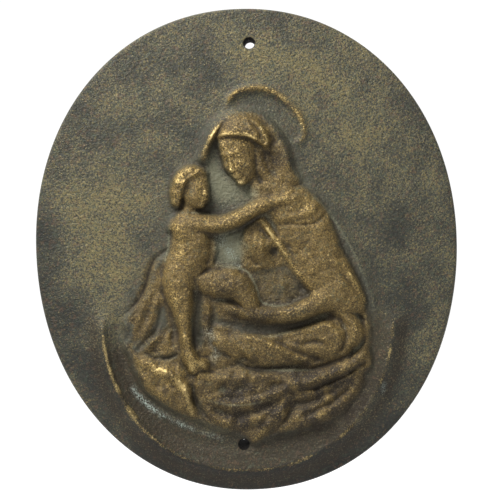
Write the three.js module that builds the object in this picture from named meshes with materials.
// Relief plaque: one oval sand-cast bronze casting with a seated mother and child in low relief.
// Millimetres, +Z up, +X to the right as the front is seen. The front faces -Y, the flat back lies
// on the plane y = 0, and the origin is the middle of the back.
import * as THREE from 'three';

// ---- driving dimensions -------------------------------------------------------------------------
const HALF_WIDTH = 76.5; // of the oval, without the lean
const HALF_HEIGHT = 87.4;
const SQUARENESS = 2.08; // exponent of the oval, 2 is an ellipse
const LEAN = 2.45; // degrees that the top leans to the left
const EGG = 0.0138; // how much wider the oval is towards its top
const PLATE = 4.8; // thickness of the bare field
const EDGE_ROUND = 1.2; // rounding of the front edge
const EDGE_WORN = 1.1; // extra rounding where the right edge is rubbed down
const BACK_CHAMFER = 0.4;
// drilled by hand and out of square: each comes out at the back this far across and up
const HOLES = [
  { x: 0.9, z: 74.7, r: 2.0, back: [0.4, -0.6] },
  { x: -1.0, z: -70.8, r: 1.9, back: [0, 2.5] },
];
const RIM = { x: 0.4, z: -25, rx: 52.8, rz: 55.3 }; // crest of the raised crescent rim
const RIM_BEAD = 0.4; // height of the bead above the terrace inside it
const RIM_TERRACE = 1.9;
const DISH_FLOOR = -0.7;

// ---- mesh spacing -------------------------------------------------------------------------------
const AROUND = 104; // points round the outline
const FIELD_STEP = 7.5;
const FIGURE_STEP = 1.65;
const HEAD_STEP = 1.1;

// ---- small helpers ------------------------------------------------------------------------------
const clamp = (v, lo, hi) => Math.min(Math.max(v, lo), hi);
const ease = (t) => {
  const k = clamp(t, 0, 1);
  return k * k * (3 - 2 * k);
};

// smooth line through rows of numbers; every column is carried along
function spline(rows, closed = false, per = 5) {
  const n = rows.length;
  const row = (i) => (closed ? rows[(i + n) % n] : rows[clamp(i, 0, n - 1)]);
  const out = [];
  for (let i = 0; i < (closed ? n : n - 1); i += 1) {
    const [a, b, c, d] = [row(i - 1), row(i), row(i + 1), row(i + 2)];
    for (let k = 0; k < per; k += 1) {
      const t = k / per;
      out.push(b.map((v, j) => 0.5 * (2 * v + (c[j] - a[j]) * t
        + (2 * a[j] - 5 * v + 4 * c[j] - d[j]) * t * t + (3 * v - 3 * c[j] + d[j] - a[j]) * t ** 3)));
    }
  }
  out.push([...row(closed ? 0 : n - 1)]);
  return out;
}

// nearest place on a line: distance, side (left of travel is positive) and the carried columns
function nearest(x, z, line) {
  let best = { far: Infinity, side: 1, row: line[0] };
  for (let i = 0; i < line.length - 1; i += 1) {
    const [a, b] = [line[i], line[i + 1]];
    const [dx, dz] = [b[0] - a[0], b[1] - a[1]];
    const t = clamp(((x - a[0]) * dx + (z - a[1]) * dz) / (dx * dx + dz * dz + 1e-12), 0, 1);
    const [ex, ez] = [x - a[0] - t * dx, z - a[1] - t * dz];
    const far = Math.hypot(ex, ez);
    if (far < best.far) best = { far, side: dx * ez - dz * ex, i, t };
  }
  const [a, b] = [line[best.i], line[best.i + 1]];
  best.row = a.map((v, j) => v + (b[j] - v) * best.t);
  return best;
}

function inside(x, z, line) {
  let odd = false;
  for (let i = 0; i < line.length - 1; i += 1) {
    const [a, b] = [line[i], line[i + 1]];
    if ((a[1] > z) !== (b[1] > z) && x < a[0] + ((z - a[1]) * (b[0] - a[0])) / (b[1] - a[1])) odd = !odd;
  }
  return odd;
}

// true where a point is out of reach of a line, so that far forms cost nothing
function beyond(line, reach) {
  const [xs, zs] = [line.map((r) => r[0]), line.map((r) => r[1])];
  const [x0, x1] = [Math.min(...xs) - reach, Math.max(...xs) + reach];
  const [z0, z1] = [Math.min(...zs) - reach, Math.max(...zs) + reach];
  return (x, z) => x < x0 || x > x1 || z < z0 || z > z1;
}

const rounded = (t, full) => Math.max(1 - t * t, 0) ** full;
function merge(a, b, blend) {
  const m = Math.max(blend - Math.abs(a - b), 0) / blend;
  return Math.max(a, b) + (m * m * blend) / 4;
}

// ---- relief forms: each takes a height over the field and gives the new one -----------------------
// rounded limb: rows of x, z, half width, height
function limb(rows, { left = 1, right = 1, blend = 0.9, full = 0.5 } = {}) {
  const line = spline(rows);
  const away = beyond(line, Math.max(...rows.map((r) => r[2])) * Math.max(left, right) + 4);
  return (x, z, h) => {
    if (away(x, z)) return h;
    const { far, side, row } = nearest(x, z, line);
    const w = row[2] * (side > 0 ? left : right);
    if (far > w + 4) return h;
    return merge(h, far < w ? row[3] * rounded(far / w, full) : (w - far) * 2, blend);
  };
}

// added ridge, or groove where the height is negative
function fold(rows, { left = 1, right = 1 } = {}) {
  const line = spline(rows);
  const away = beyond(line, 6);
  return (x, z, h) => {
    if (away(x, z)) return h;
    const { far, side, row } = nearest(x, z, line);
    const w = Math.max(row[2], 0.05) * (side > 0 ? left : right);
    return far < w ? h + row[3] * (1 - (far / w) ** 2) ** 2 : h;
  };
}

// raised area with rounded edges
function patch(rows, top, edge, { blend = 0.9, full = 0.5 } = {}) {
  const line = spline(rows, true);
  const away = beyond(line, 3);
  return (x, z, h) => {
    if (away(x, z)) return h;
    const { far } = nearest(x, z, line);
    if (inside(x, z, line)) return merge(h, top * rounded(clamp(1 - far / edge, 0, 1), full), blend);
    return far > 3 ? h : merge(h, -2 * far, blend);
  };
}

// area cut down to a level
function hollow(rows, level, edge) {
  const line = spline(rows, true);
  const away = beyond(line, 0);
  return (x, z, h) => {
    if (away(x, z) || !inside(x, z, line)) return h;
    const k = ease(nearest(x, z, line).far / edge);
    return h * (1 - k) + Math.min(level, h) * k;
  };
}

// rounded dome at x, z with half axes, turned by an angle in degrees, kept inside an outline if given
function dome(cx, cz, rx, rz, angle, top, { blend = 0.8, full = 0.5, trim = null } = {}) {
  const [c, s] = [Math.cos((angle * Math.PI) / 180), Math.sin((angle * Math.PI) / 180)];
  const line = trim ? spline(trim, true) : null;
  return (x, z, h) => {
    const [dx, dz] = [x - cx, z - cz];
    const t = Math.hypot((dx * c + dz * s) / rx, (dz * c - dx * s) / rz);
    if (t > 1.3) return h;
    let v = t < 1 ? top * rounded(t, full) : (1 - t) * Math.min(rx, rz) * 2;
    if (line) {
      const { far } = nearest(x, z, line);
      v = inside(x, z, line) ? v - (1 - ease(far / 1.4)) * 1.2 : -2 * far;
    }
    return merge(h, v, blend);
  };
}

// ---- the crescent rim and the shallow dish inside it ----------------------------------------------
const rimSquareness = (u) => (u < 0 ? 2.15 : 2.04);
function rimDistance(x, z) {
  const [u, w] = [(x - RIM.x) / RIM.rx, (z - RIM.z) / RIM.rz];
  const n = rimSquareness(u);
  const rho = (Math.abs(u) ** n + Math.abs(w) ** n) ** (1 / n);
  return ((rho - 1) * Math.hypot(x - RIM.x, z - RIM.z)) / Math.max(rho, 1e-6);
}

function rim(x, z, h) {
  const d = rimDistance(x, z);
  const left = ease(0.5 - (x + 14) / 36);
  const fade = ease((-21 - z) / 9);
  const inner = RIM_TERRACE + (DISH_FLOOR - RIM_TERRACE) * ease(-d / (11.5 - 6 * left));
  const outer = RIM_TERRACE * (1 - ease(d / 5.6));
  const bead = (RIM_BEAD + 0.3 * left) * Math.exp(-((Math.abs(d) / 1.1) ** 2));
  return h + ((d < 0 ? inner : outer) + bead) * fade;
}

// ---- outlines ---------------------------------------------------------------------------------
const BODY = [[-27.6, 11.6], [-28.2, 5], [-28.8, -1], [-32.4, -3.2], [-35.4, -9], [-37, -15], [-40.6, -20.3],
  [-44.8, -25], [-44, -30], [-45.2, -35], [-42.6, -40], [-40.6, -46], [-36, -52.3], [-29, -57.2], [-20, -61.5],
  [-12, -65.2], [-5, -67.4], [1.5, -69.8], [8, -68.8], [18, -65.9], [28, -61.8], [34.5, -58], [38.6, -53.3],
  [42, -48.2], [44.2, -41.5], [45.8, -34], [45.6, -26], [43.5, -19], [40, -11.5], [36.8, -4.8], [34, 1],
  [31.5, 6.5], [30, 12], [27.3, 17.6], [23.3, 21.3], [19, 25], [15, 27], [9, 25.5], [4.5, 21.5], [0.2, 17],
  [-6, 13.2], [-15, 12.8], [-22, 14]];
const MANTLE_BEHIND = [[-29, -1], [-33, -4.2], [-35.4, -9], [-37.2, -15], [-41, -20.6], [-44.4, -25.4],
  [-43.6, -30], [-44, -35], [-41, -39], [-32, -38.6], [-26, -36], [-25, -28], [-28, -18], [-28, -8]];
const VEIL = [[-17.4, 32], [-16.4, 36.5], [-14.2, 41.6], [-11.3, 46.2], [-7, 49.6], [-0.6, 50.9], [5.6, 49.4],
  [10.3, 45.4], [14.3, 39.9], [16.6, 34.5], [17.8, 28.6], [20, 24.8], [15.5, 21.5], [8, 22.5], [3, 28], [0, 36],
  [-5, 40.5], [-9, 40.6], [-11.2, 38.2], [-13.6, 34]];
const CAP = [[-11.4, 39.6], [-6.1, 40.9], [0.4, 40.6], [7.4, 36.4], [9, 38], [8, 41.8], [5.4, 45.4], [1.2, 48.2],
  [-3.2, 48.8], [-7.6, 46.8], [-10.2, 43.4]];
const HAIR = [[-13.2, 27.6], [-16, 30], [-20.5, 30.8], [-24.6, 28.8], [-27.4, 24.6], [-28.1, 20], [-27.8, 15.6],
  [-25.6, 14.2], [-23.9, 16.6], [-23.2, 20.8], [-21.6, 24.4], [-18.6, 26.4], [-15.6, 26.6]];
const HALO_DISC = [[-5.4, 53.4], [-4.4, 55.8], [-1.4, 57.3], [2.5, 57.9], [6.4, 57.5], [10.2, 56], [13.8, 53.5],
  [17, 50.2], [19.3, 46.4], [20.2, 43], [19.5, 40.2], [16.6, 38.4], [13.8, 41], [10.3, 45.4], [5.6, 49.4],
  [-0.6, 50.8], [-4, 50.8]];
const HALO_RING = [[-7.4, 52.4, 0.8, 0], [-6.4, 54.2, 1.1, 1], [-4.7, 56.3, 1.3, 1.3], [-1.7, 57.8, 1.3, 1.3],
  [2.5, 58.5, 1.35, 1.3], [6.5, 58.1, 1.35, 1.3], [10.4, 56.6, 1.3, 1.2], [14.1, 54.1, 1.3, 1.2],
  [17.4, 50.8, 1.25, 1.1], [19.9, 46.8, 1.25, 1.1], [20.9, 43.1, 1.2, 1], [20.2, 40.2, 1.1, 0.7],
  [18.4, 38.5, 0.9, 0.5], [15.4, 38.4, 0.7, 0]];
const ARM = [[-24.6, 7.8, 3.2, 4.4], [-21, 8.6, 3.4, 5.2], [-17, 8.6, 3.3, 5.8], [-12, 8.4, 3.2, 6.1],
  [-7, 9, 3.1, 6.2], [-2, 11.2, 3, 6.1], [3, 14.2, 2.9, 5.9], [8, 16.4, 2.8, 5.6], [12.5, 17.6, 2.6, 5.4],
  [16.4, 18.6, 2.2, 5]];
const LAP_LINE = [[-4.4, -40.6, 0.9, -0.1], [1.5, -43, 1.3, -1], [9, -43.5, 1.4, -1.3], [16, -42.6, 1.3, -1],
  [22.5, -43.5, 1.4, -1.2], [29, -41.7, 1.4, -1.1], [35.5, -39.2, 1.3, -0.9], [39.5, -36.4, 1, -0.4]];
const RIM_FOLD = [[12, -52.4, 1.2, 0.2], [15, -50.3, 1.8, 0.9], [20, -49, 2, 1.1], [26, -47.3, 2, 1.1],
  [32, -45.1, 2, 1], [38, -42.2, 1.8, 0.9], [43, -38.2, 1.5, 0.5]];
const UNDER_FOREARM = [[-11.5, -26, 1.8, -0.8], [-5, -27.2, 2.2, -1.3], [2, -28.6, 2.4, -1.8], [9, -29, 2.4, -2.1],
  [15, -28.2, 2.4, -2.3], [21, -26.3, 2.2, -2.3], [26.5, -23.8, 1.9, -1.7], [31, -22.4, 1.2, 0]];
const LEG_GAP = [[-19.4, -10.4, 1.1, -0.4], [-17.8, -13.4, 1.5, -1], [-17.2, -17, 1.7, -1.4], [-17.6, -22, 1.7, -1.5],
  [-18, -27, 2.1, -2.2], [-18, -31.5, 2.4, -2.6], [-18.4, -34.6, 2, -1.7], [-18.8, -36.6, 1.1, 0]];
const BEHIND_LINE = [[-28.4, 0.2, 1, -0.3], [-31, -1.9, 1.2, -0.6], [-33.6, -3.8, 1.3, -0.9], [-35.2, -8, 1.4, -1],
  [-36.6, -13, 1.4, -1], [-38.4, -17.2, 1.3, -0.9], [-41.6, -21.4, 1.2, -0.8], [-45.2, -25.2, 0.9, -0.3]];
const SEAT_GAP = [[-19.4, -49.6, 1.1, -0.6], [-18.8, -54.2, 1.5, -1.5], [-16.4, -58.4, 1.6, -1.6],
  [-12.4, -62.4, 1.2, -0.8]];
const MANTLE_EDGE = [[4.2, 11.4, 0.9, 0], [5.8, 9.6, 1.6, 0.8], [8, 6.4, 1.9, 1.1], [10, 3.6, 1.9, 1],
  [12.4, 0.6, 1.8, 0.8], [14.6, -2.4, 1.8, 0.9], [16.8, -6, 1.9, 0.9], [19.2, -9.2, 1.9, 0.7],
  [21.6, -12.4, 1.8, 0.7], [24.8, -17.4, 1.6, 0]];

// ---- the relief, form after form from the field up ---------------------------------------------
const FORMS = [
  rim,
  // the group as one low mass, with the mantle behind the child lower
  patch(BODY, 2, 2.8, { full: 0.7 }),
  hollow(MANTLE_BEHIND, 1.5, 1.5),
  patch(VEIL, 3.3, 3.4),
  // ground that slopes away to the right of the mantle
  limb([[22, 20, 4, 0.8], [29.5, 9, 5, 1], [36, -3, 5.6, 1.1], [41, -14, 5, 1.1], [44.4, -26, 4, 0.9]],
    { blend: 1, full: 0.8 }),
  // mother's shoulder, upper arm and mantle
  limb([[10, 20.5, 6.4, 3.8], [16.5, 16.5, 7.6, 4.8], [21.5, 10.5, 8.6, 5.3], [25.2, 4, 7.6, 5.5],
    [28.2, -3, 7.4, 5.5], [31.8, -9.5, 7.4, 5.6], [35.2, -14.5, 6.6, 5.7], [37.5, -19, 6.2, 5.2]],
  { right: 1.45, full: 0.42 }),
  // forearm along the foot of the recess
  limb([[-7, -21.8, 2, 3.2], [-2, -22.8, 2.6, 4.5], [4, -23.5, 2.9, 5], [10, -24, 3.1, 5.4], [15, -23.8, 3.5, 5.8],
    [20, -22.4, 4, 6.1], [26, -19.8, 4.8, 6.2], [33, -16, 5.6, 6]], { left: 1.1, blend: 1.4, full: 0.45 }),
  fold(MANTLE_EDGE, { left: 1.5, right: 0.85 }),
  // lap and knee
  limb([[-11, -33, 3.4, 3], [-4, -34.8, 4.6, 3.9], [5, -36.4, 5.8, 4.4], [15, -36.4, 6.6, 4.8],
    [24, -34.8, 7.2, 5.2], [31.5, -32.2, 7.4, 5.4], [37.8, -29.8, 6.2, 4.9]], { blend: 1.2, full: 0.4 }),
  // hanging drapery below the lap, and its tail
  limb([[-16, -49, 5, 2.6], [-6, -50, 7, 3.3], [6, -49.5, 7, 3.6], [18, -48.5, 7, 3.9], [30, -45.5, 7, 4],
    [40, -40, 6, 3.4]], { blend: 1.4, full: 0.4 }),
  limb([[-14, -56, 5, 2.7], [-4, -59, 6.4, 3.2], [6, -58.4, 7, 3.4], [12, -55, 6, 3.3]], { blend: 1.4, full: 0.4 }),
  limb([[12, -60, 6, 3], [21, -58.5, 6.6, 3.2], [30, -54.5, 7, 3.3], [38, -48, 5, 3]], { blend: 1.4, full: 0.4 }),
  limb([[9, -58, 5, 3.2], [6, -63, 4.6, 3], [2.8, -68.4, 2.4, 2.3]], { blend: 1.2 }),
  // drapery over the seat at the lower left
  patch([[-40.6, -41], [-36.4, -38.6], [-30, -39.6], [-24, -41.5], [-18.6, -46], [-19.2, -51], [-18.6, -56],
    [-15.4, -61.2], [-20, -61.8], [-27, -58.6], [-33.5, -54.6], [-38.4, -49.4]], 3.9, 6.5, { full: 0.45 }),
  // child's body, leg, foot and bent knee
  limb([[-20.4, 9.4, 6.9, 4.8], [-19.9, 4, 7.7, 4.9], [-20.7, -2, 8, 5.1], [-22.6, -7, 7.4, 5.5],
    [-24.4, -12, 6.6, 5.9], [-23.9, -18, 5.3, 5.9], [-22.9, -24, 3.7, 5.4], [-22.2, -29.5, 2.9, 5],
    [-21.7, -34.5, 2.7, 4.6]], { full: 0.42 }),
  limb([[-21.6, -33.5, 2.6, 4.5], [-21, -38, 3.2, 5], [-19, -41.2, 3.5, 5.2], [-15.6, -41.6, 2.6, 4.4]]),
  limb([[-16.8, -12.4, 4, 4.2], [-11, -12.4, 5.4, 5], [-5, -12.8, 5.7, 5.4], [-1.2, -16, 5, 5.2],
    [1, -20.5, 4, 4.9]], { full: 0.42 }),
  // gathered dress, then the recesses between the figures
  dome(4.6, 0.6, 6.2, 6.8, 20, 4.3, { blend: 0.9 }),
  hollow([[-12.4, 5.2], [-8, 4.6], [-3.6, 5.8], [-0.4, 8.4], [-0.8, 5], [-2.2, 1.6], [-2.2, -3], [-1.2, -6.2],
    [-5, -6.5], [-9, -6], [-12.6, -5.2], [-11.3, -1], [-11.5, 2.5]], 0.5, 1.3),
  hollow([[0.6, -8.2], [4, -7.6], [9, -6.6], [13.8, -5], [16.8, -7.8], [19.8, -11], [22.8, -15], [23, -17.6],
    [16.6, -20.2], [10.5, -21], [5.2, -19.9], [3.7, -16], [2.3, -11.8]], 1.3, 1.5),
  limb(ARM, { left: 1.35, right: 0.85, blend: 0.7 }),
  hollow(HALO_DISC, -0.35, 1.4),
  fold(HALO_RING),
  // mother's head: skull, face, brow, nose, lips and chin on plain proportions, then the cap
  dome(-1.2, 36.5, 7.2, 9, 0, 5.9),
  dome(-2.2, 31.6, 6.2, 8.2, 4, 5.6),
  fold([[-7.6, 36.6, 1, 0], [-5, 36.8, 1.2, 0.5], [-1.5, 36.9, 1.2, 0.5], [1.6, 36.5, 1, 0]]),
  fold([[-5.2, 36.2, 1.2, 0.2], [-5.8, 33.6, 1.4, 0.9], [-6, 31.6, 1.6, 1.2], [-5.2, 30.2, 1.2, 0]]),
  fold([[-6.2, 28.8, 1, 0], [-4, 28.6, 1.2, 0.5], [-1.8, 28.9, 1, 0]]),
  dome(-3.4, 25.6, 2.2, 1.9, 0, 4.9, { blend: 0.6 }),
  dome(-1.4, 38.6, 11.2, 11.4, 0, 7.3, { blend: 0.3, trim: CAP }),
  fold([[0.6, 48.1, 1, 0.2], [3.4, 46.4, 1.6, 0.7], [5.8, 43.9, 1.7, 0.9], [7.3, 41.1, 1.6, 0.9],
    [7.9, 38.7, 1.4, 1], [7.3, 37, 1.1, 0.7]]),
  // gap between the veil and the face on the left, hollow of the veil on the right
  fold([[-14.9, 33.4, 1, -1.2], [-13.5, 36.4, 1.3, -2], [-11.7, 39.4, 1.1, -1.8], [-9.4, 44, 0.8, -0.8]]),
  hollow([[5.4, 36.4], [9.2, 36.2], [12.4, 33.6], [13.2, 29.6], [12, 25.8], [8.8, 25.6], [6.4, 28], [5, 32.5]], 2, 2),
  // child's head: face, hair, nose
  dome(-18.6, 21.4, 6.8, 7.4, 0, 5.2),
  fold([[-16, 23.4, 1.2, 0.3], [-14.2, 20.8, 1.6, 0.9], [-14.8, 19.4, 1.2, 0.1]]),
  dome(-20.4, 21.8, 8.6, 9.4, 0, 6.1, { blend: 0.3, trim: HAIR }),
  // shadow line below the forearm, folds of the lap
  fold(UNDER_FOREARM, { right: 1.2 }),
  fold([[-0.5, -31.2, 1.2, 0.2], [5, -32.6, 1.9, 0.7], [10, -34.8, 2, 0.8], [16, -38.2, 2, 0.7], [23, -41, 1.6, 0.2]]),
  fold([[13, -33, 1.1, 0], [19, -34.2, 1.9, -0.7], [25.5, -33.6, 2, -0.8], [29.2, -35.6, 1.6, -0.6],
    [29, -38.4, 1.2, -0.1]]),
  fold([[35.6, -22.6, 1, -0.4], [40.6, -24.2, 1.4, -0.9], [42.6, -28.6, 1.5, -1], [41.8, -34.4, 1.4, -0.9],
    [37.6, -38.8, 1.2, -0.7]]),
  fold(LAP_LINE, { right: 1.4 }),
  fold(RIM_FOLD, { left: 1.5, right: 0.85 }),
  fold([[18.5, -51.1, 1.1, -0.4], [25, -50, 1.5, -0.9], [31, -47.6, 1.5, -1], [37.5, -44.5, 1.4, -0.9],
    [43.2, -40.4, 1.2, -0.5]]),
  // swags and tail of the hanging drapery
  fold([[14.8, -52.6, 1.8, 0.4], [13, -57.4, 2.6, 0.9], [9.4, -62.2, 2.5, 1], [5.8, -66, 2, 0.9],
    [2.6, -69.4, 1.2, 0.3]]),
  fold([[-17.5, -49.6, 1.4, 0], [-13, -54.4, 2.2, 0.4], [-5.5, -56.6, 2.4, 0.8], [2, -55.2, 2.4, 0.9],
    [8.4, -53.2, 2.1, 0.8], [13.4, -50.8, 1.6, 0.3]]),
  fold([[-15, -55.6, 1.3, -0.2], [-10, -59.2, 2, -0.7], [-3, -60, 2.3, -0.9], [4, -58.4, 2.2, -0.9],
    [10.4, -55, 1.5, -0.4]]),
  fold([[18, -56, 1.2, -0.4], [23.5, -55.2, 1.9, -0.7], [29, -52.4, 2, -0.8], [34.6, -49, 1.8, -0.5],
    [39.4, -45.2, 1.2, 0]]),
  fold(SEAT_GAP),
  fold([[-34.4, -41.2, 1.4, 0.3], [-29.6, -44.6, 2.4, 0.8], [-24.8, -47.7, 2.7, 1], [-21.6, -51.4, 2.6, 1],
    [-20.8, -56, 2.2, 0.8], [-20, -60, 1.5, 0.3]]),
  // deep gap beside the child's leg
  fold(LEG_GAP),
  // line and folds of the mantle behind the child
  fold(BEHIND_LINE),
  fold([[-31.6, -14.6, 1.2, 0], [-33, -20, 2.2, 0.7], [-34.6, -26, 2.2, 0.7], [-38.2, -31.6, 1.5, 0.2]]),
  fold([[-30.2, -19, 1, -0.1], [-30.8, -24, 1.4, -0.8], [-32, -28.6, 1.4, -1], [-35.8, -32.2, 1.3, -1],
    [-39, -36.4, 1, -0.5]]),
];
const relief = (x, z) => FORMS.reduce((h, form) => form(x, z, h), 0);

// ---- the oval plate -----------------------------------------------------------------------------
// point of the oval at an angle, drawn in by an inset
function outline(angle, inset = 0) {
  const [c, s] = [Math.cos(angle), Math.sin(angle)];
  const u = Math.sign(c) * Math.abs(c) ** (2 / SQUARENESS);
  const w = Math.sign(s) * Math.abs(s) ** (2 / SQUARENESS);
  const x = (HALF_WIDTH - inset) * u * (1 + EGG * w);
  const z = (HALF_HEIGHT - inset) * w;
  const lean = (LEAN * Math.PI) / 180;
  return [x * Math.cos(lean) - z * Math.sin(lean), x * Math.sin(lean) + z * Math.cos(lean)];
}

// 0 at the middle of the oval, 1 on its edge
function ovalReach(x, z) {
  const lean = (LEAN * Math.PI) / 180;
  const [u, w] = [x * Math.cos(lean) + z * Math.sin(lean), z * Math.cos(lean) - x * Math.sin(lean)];
  const v = w / HALF_HEIGHT;
  return (Math.abs(u / (HALF_WIDTH * (1 + EGG * v))) ** SQUARENESS + Math.abs(v) ** SQUARENESS) ** (1 / SQUARENESS);
}

const edgeRound = (x, z) => EDGE_ROUND + (x > 0 ? EDGE_WORN * Math.exp(-(((z + 24) / 20) ** 2)) : 0);

// y of the front surface
function front(x, z) {
  const reach = ovalReach(x, z);
  const inset = Math.max((1 - reach) * Math.hypot(x, z), 0) / Math.max(reach, 1e-3);
  const r = edgeRound(x, z);
  const drop = r - r * Math.sqrt(Math.max(1 - Math.max(1 - inset / r, 0) ** 2, 0));
  return -(PLATE + relief(x, z) - drop);
}

// ---- where the front surface has its points -------------------------------------------------------
const spots = [];
function spot(x, z, gap) {
  if (gap > 0 && spots.some((p) => Math.abs(p[0] - x) < gap && Math.hypot(p[0] - x, p[1] - z) < gap)) return;
  spots.push([x, z]);
}
const BACK_HOLES = HOLES.map((o) => ({ ...o, x: o.x + o.back[0], z: o.z + o.back[1] }));
const clearOfHoles = (x, z, room, holes = HOLES) => holes.every((o) => Math.hypot(x - o.x, z - o.z) > o.r + room);

function ringOf(count, place) {
  return Array.from({ length: count }, (_, i) => place((i / count) * 2 * Math.PI));
}
const holeRing = (o, grow = 0) => (a) => [o.x + (o.r + grow) * Math.cos(a), o.z + (o.r + grow) * Math.sin(a)];

// points beside a line, at given distances to its left
function beside(rows, offsets, step, closed = false) {
  const line = spline(rows, closed, 8);
  let run = 0;
  for (let i = 0; i < line.length - 1; i += 1) {
    const [a, b] = [line[i], line[i + 1]];
    const long = Math.hypot(b[0] - a[0], b[1] - a[1]);
    run += long;
    if (run < step) continue;
    run = 0;
    const [nx, nz] = [-(b[1] - a[1]) / long, (b[0] - a[0]) / long];
    for (const off of offsets) spot(a[0] + nx * off, a[1] + nz * off, 0.8);
  }
}

const lattice = (step, box, keep, gap) => {
  let row = 0;
  for (let z = box[1]; z <= box[3]; z += step * 0.866) {
    row += 1;
    for (let x = box[0] + (row % 2) * step * 0.5; x <= box[2]; x += step) if (keep(x, z)) spot(x, z, gap);
  }
};

ringOf(AROUND, (a) => outline(a)).forEach(([x, z]) => spot(x, z, 0));
const OUTER = spots.length;
HOLES.forEach((o) => ringOf(20, holeRing(o)).forEach(([x, z]) => spot(x, z, 0)));
const FIXED = spots.length;
for (const inset of [0.5, 1.3, 2.6]) ringOf(AROUND, (a) => outline(a, inset)).forEach(([x, z]) => spot(x, z, 0.3));
HOLES.forEach((o) => ringOf(14, holeRing(o, 1.6)).forEach(([x, z]) => spot(x, z, 0.9)));

const onField = (x, z) => ovalReach(x, z) < 0.955 && clearOfHoles(x, z, 1.2);
// point of the rim's crest line at an angle, moved outwards by d
function rimPoint(a, d) {
  const [c, s] = [Math.cos(a), Math.sin(a)];
  const k = 2 / rimSquareness(c);
  const [x, z] = [RIM.rx * Math.sign(c) * Math.abs(c) ** k, RIM.rz * Math.sign(s) * Math.abs(s) ** k];
  const grow = 1 + d / Math.hypot(x, z);
  return [RIM.x + x * grow, RIM.z + z * grow];
}
for (const d of [0, 1.3, -1.3, 3, 4.8, -2.8, -4.5, -7.5, -11]) {
  for (const [x, z] of ringOf(130, (a) => rimPoint(a, d))) if (z < -19 && onField(x, z)) spot(x, z, 1);
}
beside(HALO_RING, [0, 1.3, -1.3], 1.6);
beside(BODY, [0.2, -1.2], 1.8, true);
beside(VEIL, [0.2, -1.2], 1.8, true);
beside(CAP, [0.2, -0.9], 1.5, true);
beside(HAIR, [0.2, -0.9], 1.5, true);
beside(ARM, [0, 4, -2.8], 1.8);
beside(LAP_LINE, [0, 1.3, -1.7], 2);
beside(RIM_FOLD, [0, -1.6], 2);
beside(MANTLE_EDGE, [0, -1.6], 2);
beside(UNDER_FOREARM, [0, 2.2, -2.7], 2);
beside(LEG_GAP, [0, 1.8, -1.8], 1.8);
beside(BEHIND_LINE, [0, 1.3, -1.3], 2);
beside(SEAT_GAP, [0, 1.5], 2);

// how far the surface near a point leaves the plane through its neighbours
function unevenness(x, z, s) {
  const h = relief(x, z);
  const across = Math.abs(relief(x + s, z) + relief(x - s, z) - 2 * h);
  const up = Math.abs(relief(x, z + s) + relief(x, z - s) - 2 * h);
  return Math.max(across, up);
}
// bare field close beside a raised form
function atFoot(x, z, s) {
  const bare = (px, pz) => Math.abs(relief(px, pz) - rim(px, pz, 0));
  if (bare(x, z) > 0.01) return false;
  return [0, 1, 2, 3, 4, 5].some((k) => bare(x + s * Math.cos(k * 1.047), z + s * Math.sin(k * 1.047)) > 0.25);
}
const onHeads = (x, z) => Math.hypot((x + 1) / 10.5, (z - 35.5) / 14.5) < 1 || Math.hypot(x + 20, z - 22.2) < 9.2;
const WHOLE = [-78, -90, 78, 90];
lattice(HEAD_STEP, [-32, 10, 14, 52], (x, z) => onHeads(x, z), HEAD_STEP * 0.75);
lattice(1, WHOLE, (x, z) => onField(x, z) && atFoot(x, z, 0.9), FIGURE_STEP * 0.7);
lattice(FIGURE_STEP, WHOLE, (x, z) => onField(x, z) && unevenness(x, z, FIGURE_STEP) > 0.3, FIGURE_STEP * 0.7);
lattice(FIGURE_STEP * 1.7, WHOLE, (x, z) => onField(x, z) && unevenness(x, z, 3) > 0.06, FIGURE_STEP * 1.15);
lattice(FIELD_STEP, WHOLE, (x, z) => onField(x, z), FIELD_STEP * 0.7);

// ---- triangles over the points (Delaunay, point by point) ------------------------------------------
function delaunay(points) {
  const wobble = (i, k) => Math.sin(i * 12.9898 + k * 78.233) * 1e-4; // breaks ties between even spacings
  const p = points.map(([x, z], i) => [x + wobble(i, 1), z + wobble(i, 2)]);
  const n = p.length;
  p.push([-900, -700], [900, -700], [0, 1100]);
  const circle = (a, b, c) => {
    const [bx, bz, cx, cz] = [p[b][0] - p[a][0], p[b][1] - p[a][1], p[c][0] - p[a][0], p[c][1] - p[a][1]];
    const d = 2 * (bx * cz - bz * cx);
    const [b2, c2] = [bx * bx + bz * bz, cx * cx + cz * cz];
    const [ux, uz] = [(cz * b2 - bz * c2) / d, (bx * c2 - cx * b2) / d];
    return { v: [a, b, c], x: ux + p[a][0], z: uz + p[a][1], r2: ux * ux + uz * uz };
  };
  let faces = [circle(n, n + 1, n + 2)];
  for (let i = 0; i < n; i += 1) {
    const rim2 = new Map();
    faces = faces.filter((f) => {
      if ((p[i][0] - f.x) ** 2 + (p[i][1] - f.z) ** 2 >= f.r2) return true;
      for (let k = 0; k < 3; k += 1) {
        const [a, b] = [f.v[k], f.v[(k + 1) % 3]];
        if (!rim2.delete(`${b}_${a}`)) rim2.set(`${a}_${b}`, [a, b]);
      }
      return false;
    });
    for (const [a, b] of rim2.values()) faces.push(circle(a, b, i));
  }
  return faces.map((f) => f.v).filter((v) => v.every((k) => k < n));
}
const middle = (points, v) => [0, 1].map((k) => (points[v[0]][k] + points[v[1]][k] + points[v[2]][k]) / 3);
const solidFaces = (points, holes) => delaunay(points)
  .filter((v) => clearOfHoles(...middle(points, v), -0.02, holes));

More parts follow.
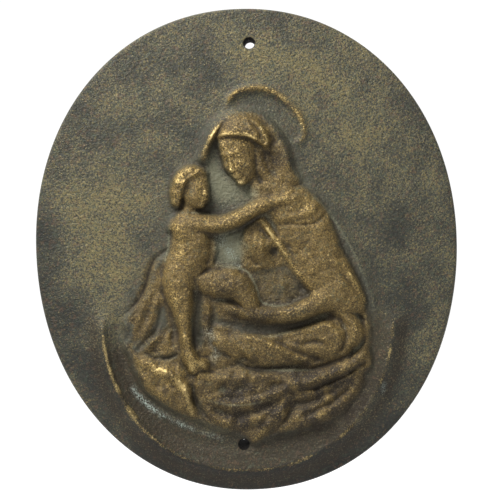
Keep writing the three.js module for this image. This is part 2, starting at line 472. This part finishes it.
// ---- the closed solid --------------------------------------------------------------------------
const position = [];
const index = [];
const vertex = (x, y, z) => position.push(x, y, z) / 3 - 1;
const wall = (ringA, ringB, turn) => ringA.forEach((a, i) => {
  const j = (i + 1) % ringA.length;
  const quad = [[a, ringA[j], ringB[j]], [a, ringB[j], ringB[i]]];
  for (const q of quad) index.push(...(turn ? [q[0], q[2], q[1]] : q));
});

const frontIds = spots.map(([x, z], i) => vertex(x, i < OUTER ? -(PLATE - edgeRound(x, z)) : front(x, z), z));
for (const v of solidFaces(spots, HOLES)) index.push(frontIds[v[0]], frontIds[v[1]], frontIds[v[2]]);

// back face: the drawn-in outline, the holes and a few points between
const backSpots = [...ringOf(AROUND, (a) => outline(a, BACK_CHAMFER)),
  ...BACK_HOLES.flatMap((o) => ringOf(20, holeRing(o))),
  ...[0.35, 0.7].flatMap((k) => ringOf(16, (a) => [HALF_WIDTH * k * Math.cos(a), HALF_HEIGHT * k * Math.sin(a)]))];
const backIds = backSpots.map(([x, z]) => vertex(x, 0, z));
for (const v of solidFaces(backSpots, BACK_HOLES)) index.push(backIds[v[0]], backIds[v[2]], backIds[v[1]]);

// side wall with a small chamfer at the back, then the walls of the two holes
const sideIds = ringOf(AROUND, (a) => outline(a)).map(([x, z]) => vertex(x, -BACK_CHAMFER, z));
wall(frontIds.slice(0, OUTER), sideIds, true);
wall(sideIds, backIds.slice(0, AROUND), true);
HOLES.forEach((_, i) => {
  const at = (ids, start) => ids.slice(start + i * 20, start + (i + 1) * 20);
  wall(at(frontIds, OUTER), at(backIds, AROUND), false);
});

const geometry = new THREE.BufferGeometry();
geometry.setAttribute('position', new THREE.Float32BufferAttribute(position, 3));
geometry.setIndex(index);
geometry.computeVertexNormals();

const bronze = new THREE.MeshStandardMaterial({ color: 0x6f6040, roughness: 0.55, metalness: 0.85 });
const plaque = new THREE.Mesh(geometry, bronze);
plaque.name = 'relief_plaque';

const group = new THREE.Group();
group.name = 'relief_plaque_model';
group.add(plaque);

export default group;
